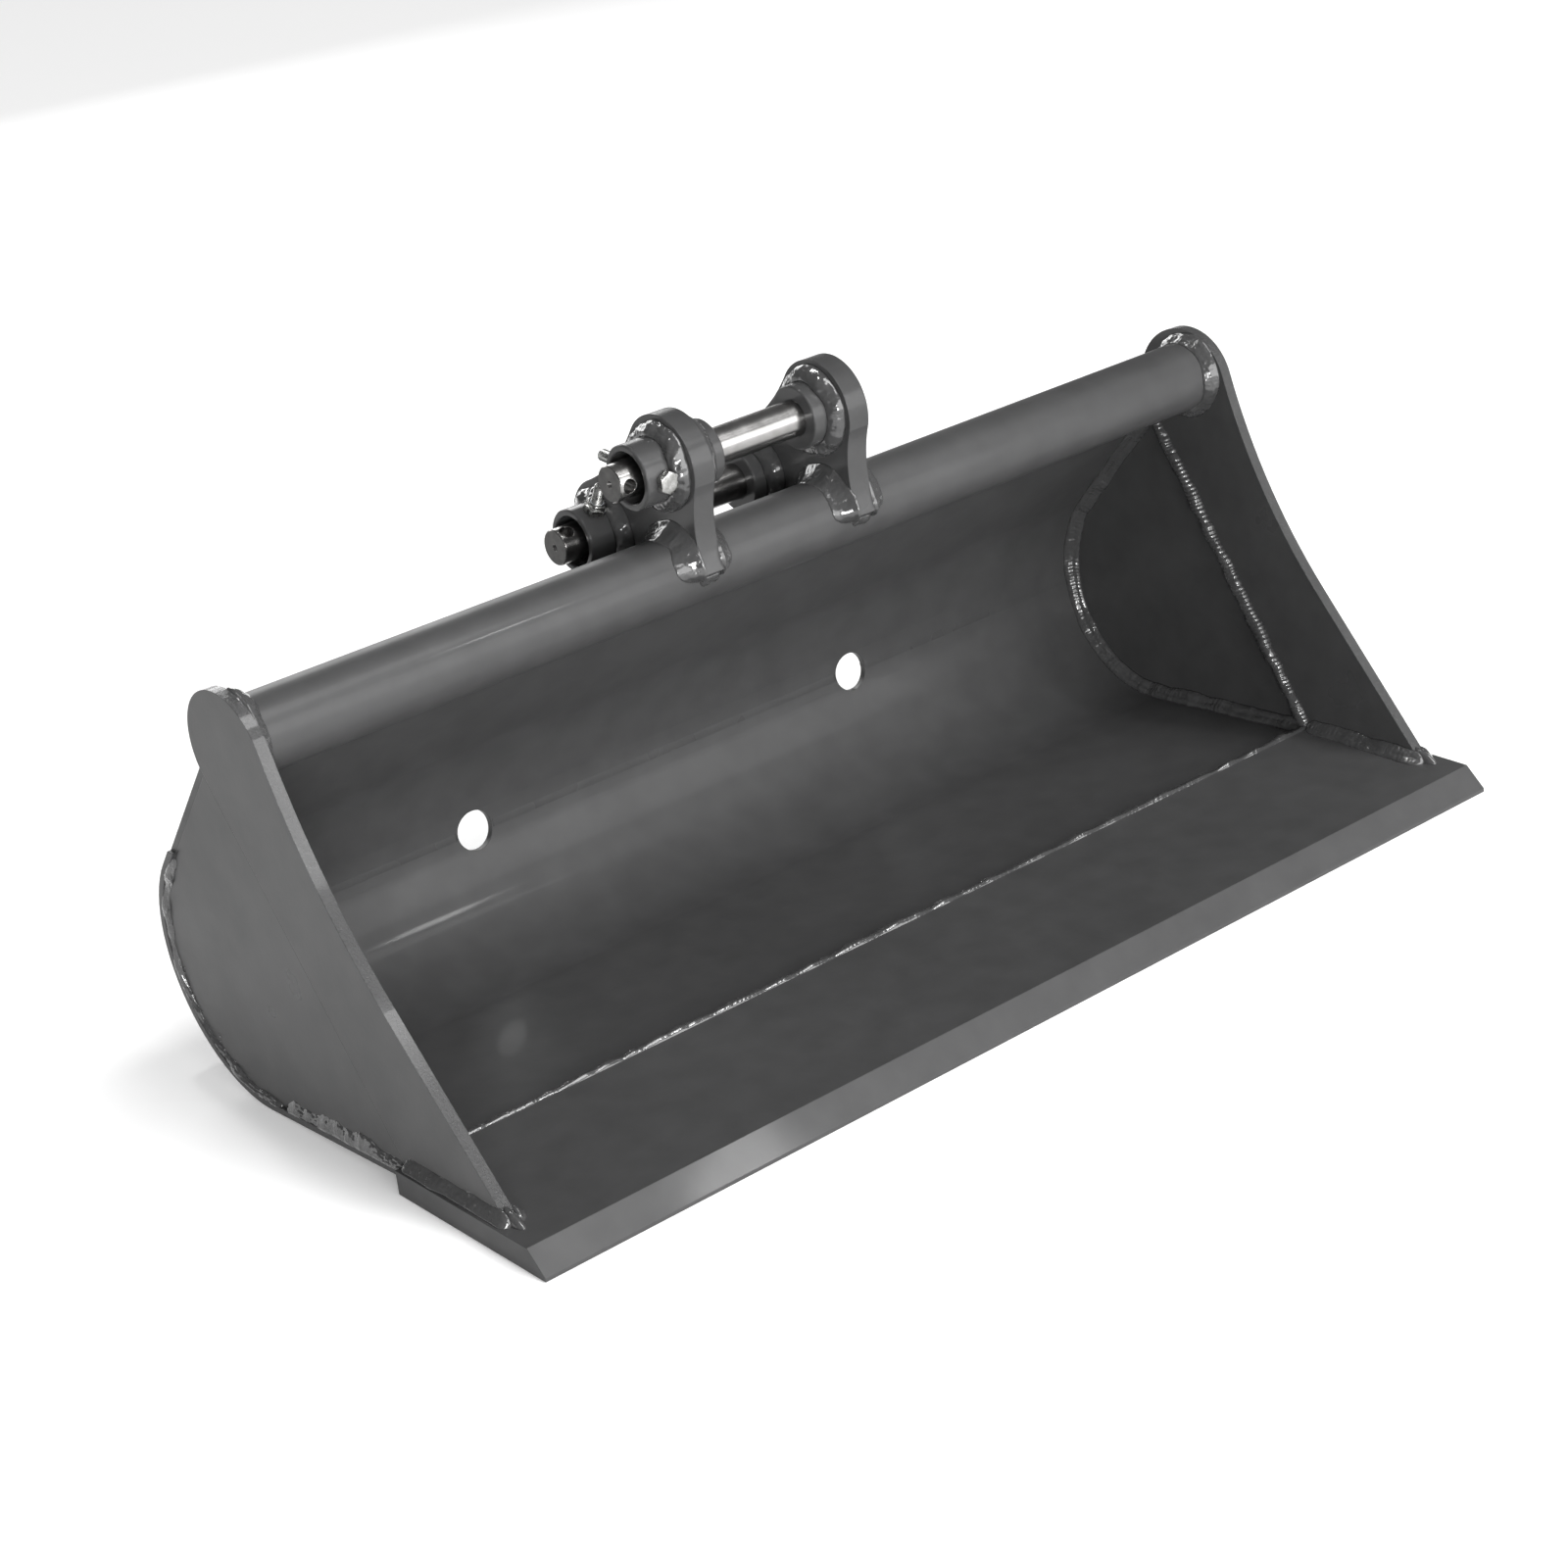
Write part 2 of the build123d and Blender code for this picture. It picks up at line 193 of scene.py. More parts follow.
# ---------------------------------------------------------------- weld beads
def bead(name, path, along_a, along_b, leg, material, slot="paint_body", seed=1, closed=False,
         crown=0.3, ripple=0.08, wander=0.16, lumps=0.10, groove=0.0, sink=0.0004):
    """A weld bead in a corner. path is the corner's line, and along_a and along_b point away from
    it along the two plates, one direction for the whole path or one for each point. leg is how far
    it reaches along both plates, or along each. crown is above 0 for a bead that bulges and below 0
    for a hollow one, and groove is how deep the line is between two passes laid side by side."""
    rng = np.random.default_rng(seed)
    path = np.asarray(path, float)
    along = [np.broadcast_to(np.asarray(v, float), (len(path), 3)) for v in (along_a, along_b)]
    if closed:
        path = np.vstack([path, path[:1]])
        along = [np.vstack([v, v[:1]]) for v in along]
    distance = np.concatenate([[0], np.cumsum(np.linalg.norm(np.diff(path, axis=0), axis=1))])
    length = distance[-1]
    count = max(8, int(length / BEAD_STEP))
    s = np.linspace(0, length, count, endpoint=not closed)

    def sampled(values):
        return np.stack([np.interp(s, distance, values[:, i]) for i in range(3)], axis=1)

    def wavy(period):
        """Smooth noise along the bead, which starts and ends alike on a closed one."""
        noise = waves(rng, length, period, count)
        if closed:
            seam = np.clip((length - s) / (3 * period), 0, 1)
            noise = noise * seam + noise[0] * (1 - seam)
        return noise

    centre = sampled(path)
    a, b = (unit(sampled(v)) for v in along)
    legs = np.broadcast_to(leg, 2)
    reach = [size * (1 + wander * wavy(period)) for size, period in zip(legs, LEG_WAVES)]
    if not closed:
        tip = np.clip(np.minimum(s, length - s) / min(reach[0].mean(), length / 2), 0, 1)
        taper = rounded_end(tip)
        reach = [r * taper for r in reach]
    drift = s / RIPPLE_PITCH + 0.8 * wavy(0.012)
    if closed:
        drift = drift * round(length / RIPPLE_PITCH) / (length / RIPPLE_PITCH)
    strength = ripple * (0.55 + 0.45 * wavy(0.014))
    split = 0.5 + 0.12 * wavy(0.030)
    coarse = lumps * wavy(0.009)
    rings = []
    for u in np.linspace(0, 1, BEAD_POINTS):
        turn = u * math.pi / 2
        bow = 4 * u * (1 - u)
        phase = drift + 0.55 * (1 - bow)
        scallop = ripples(phase)
        fine = 0.5 * lumps * wavy(0.0035)
        lift = 1 + (strength * scallop + coarse + fine) * (0.2 + 0.8 * bow)
        lift = lift - groove * np.exp(-(((u - split) / 0.13) ** 2))
        for_a, for_b = 1 - u, u
        if crown >= 0:
            for_a += 2 * crown * (math.cos(turn) - for_a)
            for_b += 2 * crown * (math.sin(turn) - for_b)
        else:
            for_a += -2 * crown * (1 - math.sin(turn) - for_a)
            for_b += -2 * crown * (1 - math.cos(turn) - for_b)
        out_a = a * (reach[0] * for_a * lift)[:, None]
        out_b = b * (reach[1] * for_b * lift)[:, None]
        rings.append(centre + out_a + out_b)
    rings[0] = rings[0] - b * sink
    rings[-1] = rings[-1] - a * sink
    rings.append(centre - (a + b) * (0.25 * np.minimum(*reach))[:, None])
    return swept(name, rings, material, closed)


def swept(name, rings, material, closed=False):
    """A closed skin through lines of equally many points that run along a path."""
    size, count = len(rings), len(rings[0])
    verts = np.stack(rings, axis=1).reshape(-1, 3)
    faces = []
    for i in range(count if closed else count - 1):
        j = (i + 1) % count
        for k in range(size):
            m = (k + 1) % size
            faces.append((i * size + k, i * size + m, j * size + m, j * size + k))
    if not closed:
        faces.append(tuple(range(size)))
        faces.append(tuple((count - 1) * size + k for k in range(size)))
    return mesh_object(name, verts, faces, material)


def rope_bead(name, path, side_way, radius, material, seed=1, ripple=0.16, lumps=0.16):
    """A round bead that lies over an edge like a rope. side_way is any direction across the path."""
    rng = np.random.default_rng(seed)
    path = np.asarray(path, float)
    length = float(np.linalg.norm(path[-1] - path[0]))
    count = int(length / BEAD_STEP)
    t = np.linspace(0, 1, count)
    centre = path[0] + np.outer(t, path[-1] - path[0])
    across = unit(side_way)
    other = np.cross(unit(path[-1] - path[0]), across)
    s = t * length
    tip = np.clip(np.minimum(s, length - s) / radius, 0, 1)
    base = radius * rounded_end(tip) * (1 + 0.12 * waves(rng, length, 0.02, count))
    drift = s / RIPPLE_PITCH + 0.8 * waves(rng, length, 0.012, count)
    centre = centre + np.outer(0.12 * radius * waves(rng, length, 0.016, count), across)
    rings = []
    for angle in np.linspace(0, 2 * math.pi, ROPE_POINTS, endpoint=False):
        phase = drift + 0.35 * (1 - math.cos(angle))
        scallop = ripples(phase)
        r = base * (1 + ripple * scallop + lumps * waves(rng, length, 0.008, count))
        rings.append(centre + np.outer(r * math.cos(angle), across) + np.outer(r * math.sin(angle), other))
    return swept(name, rings, material)


def strip(name, path, out_of, across, half_width, height, material, seed=1):
    """A low rounded bead on a flat or gently curved plate."""
    rng = np.random.default_rng(seed)
    path = np.asarray(path, float)
    length = float(np.linalg.norm(path[-1] - path[0]))
    count = max(16, int(length / (2 * BEAD_STEP)))
    t = np.linspace(0, 1, count)[:, None]
    line = path[0] + (path[-1] - path[0]) * t
    wide = half_width * (1 + 0.1 * waves(rng, length, 0.05, count))
    tall = height * (1 + 0.2 * waves(rng, length, 0.03, count))
    verts = []
    for v in np.linspace(-1, 1, STRIP_POINTS):
        lift = tall * (1 - v * v) - 0.00002 * abs(v) ** 8
        verts.append(line + np.outer(wide * v, across) + np.outer(lift, out_of))
    verts.append(line - np.outer(np.full(count, STRIP_BURIED), out_of))
    return swept(name, verts, material)


def ring_bead(name, x, centre, radius, axial, leg, material, start=0.0, sweep=360.0, **more):
    """A fillet where a round of that radius stands on a plate square to X. axial is -1 or 1, the way
    the round goes from the plate."""
    closed = sweep >= 360
    count = max(24, int(sweep / 4))
    angles = np.linspace(start, start + sweep, count, endpoint=not closed)
    radial = np.array([(0, *polar((0, 0), 1, a)) for a in angles])
    path = np.array([(x, *polar(centre, radius, a)) for a in angles])
    return bead(name, path, radial, (axial, 0, 0), leg, material, closed=closed, **more)


def spatter(name, spots, material, seed=1, size=0.0011):
    """Small round drops of weld metal on a surface. spots are pairs of a point and its normal."""
    rng = np.random.default_rng(seed)
    bm = bmesh.new()
    for point, normal in spots:
        r = size * rng.uniform(0.45, 1.25)
        turn = Vector(normal).to_track_quat("Z", "Y").to_matrix().to_4x4()
        squash = Matrix.Diagonal((r, r, r * rng.uniform(0.5, 0.8), 1))
        bmesh.ops.create_icosphere(
            bm, subdivisions=2, radius=1, matrix=Matrix.Translation(Vector(point)) @ turn @ squash
        )
    mesh = bpy.data.meshes.new(name)
    bm.to_mesh(mesh)
    bm.free()
    mesh.shade_smooth()
    mesh.materials.append(material)
    obj = bpy.data.objects.new(name, mesh)
    bpy.context.scene.collection.objects.link(obj)
    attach(obj, "bucket")
    return obj


# ---------------------------------------------------------------- materials
class Nodes:
    """A short way to write a node tree."""

    def __init__(self, name):
        self.material = bpy.data.materials.new(name)
        self.material.use_nodes = True
        self.tree = self.material.node_tree
        self.shader = self.tree.nodes["Principled BSDF"]
        self.place = self.new("ShaderNodeTexCoord").outputs["Object"]

    def new(self, kind, **values):
        node = self.tree.nodes.new(kind)
        for key, value in values.items():
            setattr(node, key, value)
        return node

    def link(self, source, target):
        self.tree.links.new(source, target)

    def noise(self, scale, detail=2.0, roughness=0.5, stretch=None):
        node = self.new("ShaderNodeTexNoise")
        node.inputs["Scale"].default_value = scale
        node.inputs["Detail"].default_value = detail
        node.inputs["Roughness"].default_value = roughness
        place = self.place
        if stretch is not None:
            mapping = self.new("ShaderNodeMapping")
            mapping.inputs["Scale"].default_value = stretch
            self.link(place, mapping.inputs["Vector"])
            place = mapping.outputs["Vector"]
        self.link(place, node.inputs["Vector"])
        return node.outputs["Fac"]

    def spread(self, value, low, high, out_low=0.0, out_high=1.0):
        node = self.new("ShaderNodeMapRange")
        node.inputs["From Min"].default_value = low
        node.inputs["From Max"].default_value = high
        node.inputs["To Min"].default_value = out_low
        node.inputs["To Max"].default_value = out_high
        self.link(value, node.inputs["Value"])
        return node.outputs["Result"]

    def add(self, a, b):
        node = self.new("ShaderNodeMath", operation="ADD")
        self.link(a, node.inputs[0])
        self.link(b, node.inputs[1])
        return node.outputs["Value"]

    def mix(self, fac, low, high):
        node = self.new("ShaderNodeMix", data_type="RGBA")
        self.link(fac, node.inputs["Factor"])
        node.inputs["A"].default_value = (*low, 1)
        node.inputs["B"].default_value = (*high, 1)
        return node.outputs["Result"]

    def bump(self, height, distance, normal=None):
        node = self.new("ShaderNodeBump")
        node.inputs["Distance"].default_value = distance
        self.link(height, node.inputs["Height"])
        if normal is not None:
            self.link(normal, node.inputs["Normal"])
        return node.outputs["Normal"]

    def rounded(self, radius):
        node = self.new("ShaderNodeBevel")
        node.samples = BEVEL_SAMPLES
        node.inputs["Radius"].default_value = radius
        return node.outputs["Normal"]

    def set(self, **values):
        for key, value in values.items():
            self.shader.inputs[key.replace("_", " ")].default_value = value


def paint(name, peel=0.00004, grit=0.0, edge=0.0011, gloss=(0.27, 0.40), coat=0.05, soften=True):
    """Gloss dark grey enamel sprayed over steel: orange peel, a slow drift of tone and gloss, and
    grit where a flame-cut edge shows through. Every painted piece has the same enamel, and only its
    texture, gloss and clear coat differ."""
    n = Nodes(name)
    tone = n.add(n.noise(3.5, 3), n.noise(38, 3))
    dark, light = ((ENAMEL * k, ENAMEL * k, ENAMEL * k * 1.01) for k in (0.88, 1.12))
    n.link(n.mix(n.spread(tone, 0.7, 1.3), dark, light), n.shader.inputs["Base Color"])
    n.link(n.spread(n.noise(9, 4, 0.6), 0.3, 0.7, *gloss), n.shader.inputs["Roughness"])
    normal = n.rounded(edge) if soften else None
    normal = n.bump(n.noise(260, 2), peel, normal=normal)
    normal = n.bump(n.noise(22, 2), peel * 3, normal=normal)
    if grit:
        normal = n.bump(n.noise(450, 3, 0.7), grit, normal=normal)
    n.link(normal, n.shader.inputs["Normal"])
    n.set(IOR=1.5, Specular_IOR_Level=ENAMEL_SPECULAR, Coat_Weight=coat, Coat_Roughness=0.08)
    return n.material


def turned_steel(name):
    """A turned and oiled pin: fine rings round the axis and a few rub marks."""
    n = Nodes(name)
    rings = n.noise(60, 3, stretch=(40, 1, 1))
    rub = n.noise(55, 4, 0.65)
    n.link(n.mix(n.spread(rub, 0.35, 0.7), (0.25, 0.245, 0.24), (0.33, 0.325, 0.32)),
           n.shader.inputs["Base Color"])
    n.link(n.spread(rub, 0.3, 0.75, 0.22, 0.27), n.shader.inputs["Roughness"])
    normal = n.rounded(0.0005)
    normal = n.bump(rings, 0.000005, normal=normal)
    n.link(normal, n.shader.inputs["Normal"])
    n.set(Metallic=1.0)
    return n.material


def dark_steel(name):
    """The oxide-dark faces of a sawn pin end."""
    n = Nodes(name)
    stain = n.noise(120, 4, 0.6)
    n.link(n.mix(n.spread(stain, 0.35, 0.7), (0.035, 0.034, 0.033), (0.085, 0.083, 0.08)),
           n.shader.inputs["Base Color"])
    n.link(n.spread(stain, 0.3, 0.7, 0.32, 0.5), n.shader.inputs["Roughness"])
    n.link(n.bump(n.noise(900, 3), 0.00003), n.shader.inputs["Normal"])
    n.set(Metallic=0.6)
    return n.material


def zinc(name):
    """Bright zinc plate with the mottle that plating leaves."""
    n = Nodes(name)
    mottle = n.noise(260, 4, 0.6)
    n.link(n.mix(n.spread(mottle, 0.35, 0.7), (0.26, 0.26, 0.25), (0.44, 0.44, 0.43)),
           n.shader.inputs["Base Color"])
    n.link(n.spread(mottle, 0.3, 0.7, 0.16, 0.36), n.shader.inputs["Roughness"])
    normal = n.rounded(0.0006)
    n.link(n.bump(n.noise(500, 2), 0.00004, normal=normal), n.shader.inputs["Normal"])
    n.set(Metallic=1.0)
    return n.material


def nylon(name):
    """The blue-white ring in a lock nut."""
    n = Nodes(name)
    cloud = n.noise(300, 2)
    n.link(n.mix(cloud, (0.50, 0.53, 0.56), (0.62, 0.65, 0.68)), n.shader.inputs["Base Color"])
    n.link(n.spread(cloud, 0.3, 0.7, 0.4, 0.55), n.shader.inputs["Roughness"])
    return n.material


def matt_white(name, value, glow):
    """A white sweep. glow is how much light it gives off itself, which lifts the shadows on it."""
    n = Nodes(name)
    n.set(Base_Color=(value, value, value, 1), Roughness=0.9, Specular_IOR_Level=0.1)
    n.set(Emission_Color=(1, 1, 1, 1), Emission_Strength=glow)
    return n.material


BODY_PAINT = paint("body_paint", gloss=(0.34, 0.46))
TUBE_PAINT = paint("tube_paint", gloss=(0.38, 0.50))
END_PAINT = paint("end_paint", peel=0.00003)
CUTTER_PAINT = paint("cutter_paint", edge=0.0009)
CUT_EDGE_PAINT = paint("cut_edge_paint", grit=0.0011, edge=0.0012, gloss=(0.08, 0.16), coat=0.5)
EDGE_PAINT = paint("edge_paint", gloss=(0.42, 0.55))
HITCH_PAINT = paint("hitch_paint", peel=0.00006, edge=0.0016, gloss=(0.20, 0.30))
BEAD_PAINT = paint("bead_paint", peel=0.00055, grit=0.00012, gloss=(0.05, 0.12), coat=1.0, soften=False)
SEAM_PAINT = paint("seam_paint", peel=0.00010, gloss=(0.24, 0.34), soften=False)
HITCH_BEAD = paint("hitch_bead_paint", peel=0.0006, gloss=(0.05, 0.12), coat=1.0, soften=False)
PIN_STEEL = turned_steel("pin_steel_turned")
PIN_FACE = dark_steel("pin_end_oxide")
ZINC = zinc("zinc_plate")
NYLON = nylon("nylon_ring")


def dress(node, material):
    """Gives a CAD node its material."""
    mesh = frame["nodes"][node].data
    mesh.materials.clear()
    mesh.materials.append(material)


def dress_all():
    for node in ("lower_shell", "upper_shell"):
        dress(node, BODY_PAINT)
    dress("top_tube", TUBE_PAINT)
    dress("cutting_edge", EDGE_PAINT)
    for side in SIDES:
        dress(f"end_plate_{side}", END_PAINT)
        dress(f"side_cutter_{side}", CUTTER_PAINT)
        cut_edges(frame["nodes"][f"side_cutter_{side}"].data, CUT_EDGE_PAINT)
        dress(f"ear_{side}", HITCH_PAINT)
        for pin in PINS:
            dress(f"{pin}_collar_{side}", HITCH_PAINT)
    for pin in PINS:
        dress(f"{pin}_boss", HITCH_PAINT)
        dress(f"{pin}_bolt", ZINC)
        dress(f"{pin}_nut", ZINC)
        dress(f"{pin}_pin", PIN_STEEL)
        faces_of_pin(frame["nodes"][f"{pin}_pin"].data)


def cut_edges(mesh, material):
    """The flame-cut edges of a plate, which are the faces that don't look along X."""
    mesh.materials.append(material)
    for face in mesh.polygons:
        if abs(face.normal.x) < 0.5:
            face.material_index = 1


def faces_of_pin(mesh):
    """The flat ends of a pin keep the dark oxide of the bar."""
    mesh.materials.append(PIN_FACE)
    for face in mesh.polygons:
        if abs(face.normal.x) > 0.99:
            face.material_index = 1


# ---------------------------------------------------------------- the bucket's welds
BACK_UP = polar((0, 0), 1, BACK_ANGLE + 90)
BACK_OUT = polar((0, 0), 1, BACK_ANGLE)


def x_run(y, z, low, high, count=60):
    """Points along X at that Y and Z."""
    return [(x, y, z) for x in np.linspace(low, high, count)]


def flat(v):
    """A direction in the end view, as a direction in space."""
    return np.array((0, v[0], v[1]))


def circle_entry(start, way, centre, radius):
    """Where a line first meets a circle."""
    offset = start - centre
    b = float(offset @ way)
    return start + way * (-b - math.sqrt(b * b - float(offset @ offset) + radius ** 2))


def meet(p, d, q, e):
    """Where the line through p along d meets the line through q along e."""
    return p + d * ((q[0] - p[0]) * e[1] - (q[1] - p[1]) * e[0]) / (d[0] * e[1] - d[1] * e[0])


def inner_outline():
    """The floor, heel and back seen from the end, on the bowl's side of the sheet, from the cutting
    edge up to the tube, with the direction out of the sheet at each point."""
    inner = HEEL_R - SHEET
    reach = np.linalg.norm(FLOOR_START - HEEL)
    touch = angle_to(HEEL, FLOOR_START) + math.degrees(math.acos(inner / reach))
    knee = polar(HEEL, inner, touch)
    points = [FLOOR_START + (knee - FLOOR_START) * t for t in np.linspace(0, 1, 30)]
    outward = [-polar((0, 0), 1, touch)] * 30
    for a in np.linspace(touch, BACK_ANGLE, 90)[1:]:
        points.append(polar(HEEL, inner, a))
        outward.append(-polar((0, 0), 1, a))
    shoulder = points[-1]
    under_tube = circle_entry(shoulder, BACK_UP, TUBE, TUBE_R)
    for t in np.linspace(0, 1, 30)[1:]:
        points.append(shoulder + (under_tube - shoulder) * t)
        outward.append(-BACK_OUT)
    return np.array(points), np.array(outward)


def end_welds():
    """Welds at each end: round the bowl, in the step behind the side cutter, at the cutter's foot
    and along the outside of the sheet."""
    outline, outward = inner_outline()
    away = np.array([flat(v) for v in outward])
    foot = np.array((EDGE_BACK, EDGE_TOP))
    notch = circle_entry(polar(HEEL, HEEL_R, BACK_ANGLE), BACK_UP, LOBE, LOBE_R)
    rise = unit(notch - foot)
    cutter_top = meet(foot, rise, polar(HEEL, HEEL_R - SHEET, BACK_ANGLE), BACK_UP)
    cutter_back = np.linspace(foot, cutter_top, 24)
    foot_line = np.linspace((CUTTER_FOOT_Y - FOOT_OVERRUN, EDGE_TOP), foot, 20)
    heel = int(np.argmax(outline[:, 0] > HEEL[0] - HEEL_LEAD))
    proud = outline[:, 1] < PROUD_BELOW
    for name, side in SIDES.items():
        inward = np.array((-side, 0, 0))
        bead(f"weld_bowl_{name}", on_end(outline, side, SHEET), away, inward, 0.0100, BEAD_PAINT,
             "paint_ends", seed=11 + side, groove=0.16, crown=0.18, lumps=0.10, wander=0.10, ripple=0.12)
        behind = flat((rise[1], -rise[0]))
        step = on_end(cutter_back, side, STEP_DEPTH) + STEP_BEAD_BACK * behind
        rope_bead(f"weld_cutter_step_{name}", step, behind, 0.0060, BEAD_PAINT,
                  seed=31 + side, ripple=0.20, lumps=0.16)
        bead(f"weld_foot_inside_{name}", on_end(foot_line, side, CUTTER), (0, 0, 1), inward, 0.0100,
             BEAD_PAINT, "paint_edge", seed=41 + side, groove=0.08, crown=0.10, lumps=0.08,
             wander=0.10)
        bead(f"weld_foot_outside_{name}", on_end(foot_line, side), (0, 0, 1), -inward,
             (0.0100, 0.0078), BEAD_PAINT, "paint_edge", seed=51 + side, wander=0.12, crown=0.02,
             lumps=0.10)
        bead(f"weld_floor_outside_{name}", on_end(outline[:heel], side), away[:heel], -inward,
             (0.0105, 0.0036), BEAD_PAINT, "paint_ends", seed=61 + side, wander=0.3, crown=0.1,
             lumps=0.25)
        bead(f"weld_heel_outside_{name}", on_end(outline[heel:][proud[heel:]], side),
             away[heel:][proud[heel:]], -inward, (0.0055, 0.0031), BEAD_PAINT, "paint_ends",
             seed=66 + side, wander=0.35, crown=0.15, lumps=0.3)
        nose = np.array([(end_x(side, EDGE_TOP, d), CUTTER_FOOT_Y, EDGE_TOP)
                         for d in np.linspace(0, CUTTER, 8)])
        slope = flat(polar((0, 0), 1, 90 - CUTTER_SLOPE))
        bead(f"weld_cutter_nose_{name}", nose, slope, (0, -1, 0), 0.0135, BEAD_PAINT, "paint_edge",
             seed=56 + side, crown=0.5, lumps=0.08, ripple=0.05, wander=0.05)


def heel_spatter():
    """Drops of weld metal on the ends, beside the bead round the heel."""
    for name, side in SIDES.items():
        rng = np.random.default_rng(200 + side)
        spots = []
        angles = rng.uniform(*SPATTER_ARC, SPATTER_COUNT)
        insets = rng.exponential(SPATTER_REACH, SPATTER_COUNT)
        for angle, inset in zip(angles, insets):
            y, z = polar(HEEL, HEEL_R - SHEET - SPATTER_CLEAR - inset, angle)
            spots.append(((end_x(side, z), y, z), (side, 0, 0)))
        spatter(f"spatter_heel_{name}", spots, BEAD_PAINT, seed=210 + side)


def edge_welds():
    """The beads between the cutting edge and the floor, above and below."""
    x = end_x(1, EDGE_TOP, SHEET)
    bead("weld_edge_to_floor", x_run(EDGE_BACK, FLOOR_START[1], -x, x), (0, 0, 1), (0, 1, 0),
         (0.0070, 0.0090), BEAD_PAINT, "paint_edge", seed=5, crown=0.5, wander=0.16, ripple=0.16,
         lumps=0.12)
    bead("weld_edge_below", x_run(EDGE_BACK, FLOOR_START[1] - SHEET, -x, x), (0, 0, -1), (0, 1, 0),
         0.0065, BEAD_PAINT, "paint_edge", seed=6, crown=0.2)


def tube_welds():
    """Beads round the tube's ends, and along the tube on both sides of the back."""
    for name, side in SIDES.items():
        angles = np.linspace(0, 360, 120, endpoint=False)
        radial = np.array([flat(polar((0, 0), 1, a)) for a in angles])
        ring = on_end([polar(TUBE, TUBE_R, a) for a in angles], side, CUTTER)
        bead(f"weld_tube_end_{name}", ring, radial, (-side, 0, 0), (0.0085, 0.0115), BEAD_PAINT,
             seed=71 + side, closed=True, wander=0.2, crown=0.2, lumps=0.16)
    for name, radius, out in (("inside", HEEL_R - SHEET, -1), ("outside", HEEL_R, 1)):
        y, z = corner = circle_entry(polar(HEEL, radius, BACK_ANGLE), BACK_UP, TUBE, TUBE_R)
        spoke = unit(corner - TUBE)
        round_tube = np.array((-spoke[1], spoke[0]))
        round_tube = round_tube * np.sign(round_tube @ BACK_OUT) * out
        x = end_x(1, z, CUTTER) - TUBE_BEAD_GAP
        bead(f"weld_tube_back_{name}", x_run(y, z, -x, x), flat(-BACK_UP), flat(round_tube), 0.0060,
             BEAD_PAINT, seed=76 + out, crown=0.3)


def ground_seam():
    """The seam between the two sheets, welded and ground almost flush, broken by the drain holes."""
    x = end_x(1, HEEL[1], SHEET) - SEAM_GAP
    stops = [-x, -DRAIN_X - DRAIN_R, -DRAIN_X + DRAIN_R, DRAIN_X - DRAIN_R, DRAIN_X + DRAIN_R, x]
    faces = ("inside", HEEL_R - SHEET, -1, SEAM_GROUND), ("outside", HEEL_R, 1, SEAM_PROUD)
    for name, radius, out, height in faces:
        y, z = polar(HEEL, radius, SEAM_ANGLE)
        out_of = flat(polar((0, 0), out, SEAM_ANGLE))
        for k in range(3):
            low, high = stops[2 * k] + 0.001, stops[2 * k + 1] - 0.001
            strip(f"seam_{name}_{k + 1}", x_run(y, z, low, high), out_of,
                  np.cross((1, 0, 0), out_of), SEAM_HALF_WIDTH, height, SEAM_PAINT, seed=120 + k + out)


def hitch_welds():
    """Fillets where the ears stand on the tube and the back, and round each collar and boss."""
    outer_line = polar(HEEL, HEEL_R, BACK_ANGLE)
    joint = circle_entry(outer_line, BACK_UP, TUBE, TUBE_R)
    heel = polar(PINS["rear"], EAR_LOBE_R, EAR_HEEL_ANGLE)
    down = polar((0, 0), 1, EAR_HEEL_ANGLE - 90)
    gap = float((outer_line - heel) @ BACK_OUT) / float(down @ BACK_OUT)
    base = heel + down * gap
    start = angle_to(TUBE, joint)
    for name, side in SIDES.items():
        for where, x, axial in (("inside", EAR_INSIDE, -side), ("outside", EAR_OUTSIDE, side)):
            seed = 81 + 3 * side + len(where)
            ring_bead(f"weld_ear_{name}_{where}", side * x, TUBE, TUBE_R, axial, (0.0125, 0.0175),
                      HITCH_BEAD, start=start, sweep=EAR_TOE_ANGLE - start, seed=seed, crown=-0.24,
                      ripple=0.04)
            line = [(side * x, *(joint + (base - joint) * t)) for t in np.linspace(0, 1, 20)]
            bead(f"weld_ear_back_{name}_{where}", line, flat(BACK_OUT), (axial, 0, 0), 0.0070,
                 HITCH_BEAD, seed=seed + 30, crown=0.15)
        ends = side * EAR_INSIDE, side * EAR_OUTSIDE
        bead(f"weld_ear_heel_{name}", x_run(*base, *ends, 8), flat(-down), flat(-BACK_UP), 0.0075,
             HITCH_BEAD, seed=150 + side)
        toe = polar(TUBE, TUBE_R, EAR_TOE_ANGLE)
        round_tube = flat(polar((0, 0), 1, EAR_TOE_ANGLE + 90))
        bead(f"weld_ear_toe_{name}", x_run(*toe, *ends, 8), flat(unit(EAR_FOOT - toe)), round_tube,
             0.0048, HITCH_BEAD, seed=160 + side, crown=0.4)
        for pin, centre in PINS.items():
            ring_bead(f"weld_{pin}_collar_{name}", side * EAR_INSIDE, centre, COLLAR_R, -side,
                      (0.0112, 0.0115), HITCH_BEAD, seed=91 + side + len(pin), crown=0.46, ripple=0.05,
                      wander=0.09)
    for pin, centre in PINS.items():
        ring_bead(f"weld_{pin}_boss", -EAR_OUTSIDE, centre, COLLAR_R, -1, (0.0112, 0.0110), HITCH_BEAD,
                  seed=101 + len(pin), crown=0.42, ripple=0.05, wander=0.14, lumps=0.16)


